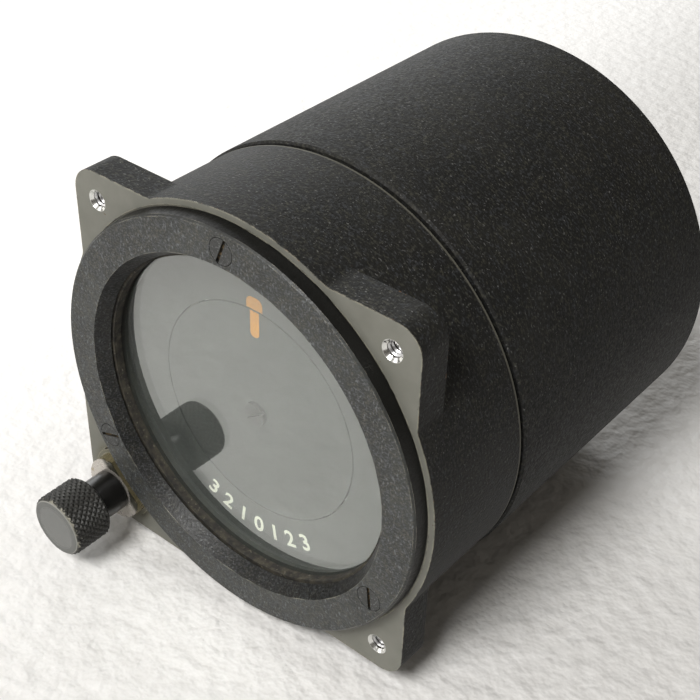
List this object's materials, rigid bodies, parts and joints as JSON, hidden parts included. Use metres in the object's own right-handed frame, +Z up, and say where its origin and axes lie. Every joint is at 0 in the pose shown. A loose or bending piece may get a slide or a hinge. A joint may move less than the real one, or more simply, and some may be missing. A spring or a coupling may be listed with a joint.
{
  "type": "pilot director indicator",
  "caption": "Round panel-mounted cockpit indicator with a remote-driven marker disc behind glass, a knurled setting knob on one corner lug and a rear connector.",
  "frame": {"origin": "centre of the flange's front face, on the instrument's axis", "axes": "+Y runs from the dial into the panel along the instrument's axis, +X is to the right of someone facing the dial, +Z is up"},
  "size_m": [0.0834, 0.1196, 0.0834],
  "materials": {
    "black_crinkle": "fine crinkle enamel, satin",
    "black_enamel": "smooth satin enamel",
    "blackened_steel": "black oxide",
    "glass": "clear, polished",
    "gasket": "aged, matte",
    "dial_black": "matte dial lacquer",
    "knob_black": "black finish, knurled",
    "bright_plate": "dull nickel plate",
    "steel": "turned",
    "brass": "turned and cut",
    "aluminium": "machined",
    "laminated_steel": "stacked sheets, varnished",
    "copper": "varnished windings",
    "insulator": "moulded phenolic",
    "carbon": "pressed carbon",
    "felt": "oiled felt"
  },
  "bodies": {
    "case": {"front_case": "black_crinkle", "rear_case": "black_crinkle", "case_gasket": "gasket", "bezel_ring": "black_enamel", "bezel_screws": "blackened_steel", "glass_gasket": "gasket", "cover_glass": "glass", "glass_spacer": "dial_black", "dial_ring": "dial_black", "knob_bushing": "bright_plate", "shaft_packing": "felt", "idler_post": "steel", "idler_clip": "steel", "mounting_plate": "aluminium", "plate_screws": "steel", "case_pillars": "aluminium", "case_screws": "blackened_steel", "stator_clamps": "steel", "clamp_screws": "steel", "receptacle_gasket": "gasket", "receptacle_shell": "aluminium", "receptacle_insert": "insulator", "receptacle_contacts": "brass", "receptacle_screws": "steel"},
    "knob": {"knob": "knob_black", "knob_set_screw": "brass", "knob_shaft": "steel", "shaft_clip": "steel", "knob_pinion": "brass"},
    "idler": {"idler_gear": "brass"},
    "stator": {"ring_gear": "brass", "gear_screws": "steel", "stator_housing": "aluminium", "stator_core": "laminated_steel", "stator_winding": "copper", "end_bell": "aluminium", "end_bell_screws": "steel", "brush_block": "insulator", "brushes": "carbon", "front_bearing_outer": "steel", "rear_bearing_outer": "steel"},
    "rotor": {"dial_disc": "dial_black", "disc_hub": "aluminium", "centre_screw": "blackened_steel", "rotor_shaft": "steel", "rotor_core": "laminated_steel", "rotor_winding": "copper", "slip_sleeve": "insulator", "slip_rings": "brass", "front_bearing_inner": "steel", "rear_bearing_inner": "steel"}
  },
  "joints": [
    {"name": "stator_turn", "type": "hinge", "parent": "case", "child": "stator", "pos_m": [0, 0, 0], "axis": [0, 1, 0], "range_deg": [-30, 30]},
    {"name": "rotor_spin", "type": "hinge", "parent": "stator", "child": "rotor", "pos_m": [0, 0, 0], "axis": [0, 1, 0], "continuous": true},
    {"name": "idler_turn", "type": "hinge", "parent": "case", "child": "idler", "pos_m": [-0.02287, 0, -0.02414], "axis": [0, 1, 0], "range_deg": [-155, 155]},
    {"name": "knob_turn", "type": "hinge", "parent": "case", "child": "knob", "pos_m": [-0.03143, 0, -0.03143], "axis": [0, 1, 0], "range_deg": [-145, 145]}
  ],
  "couplings": [
    {"joint": "idler_turn", "follows": "stator_turn", "ratio": -5.0455},
    {"joint": "knob_turn", "follows": "stator_turn", "ratio": 4.8261}
  ]
}
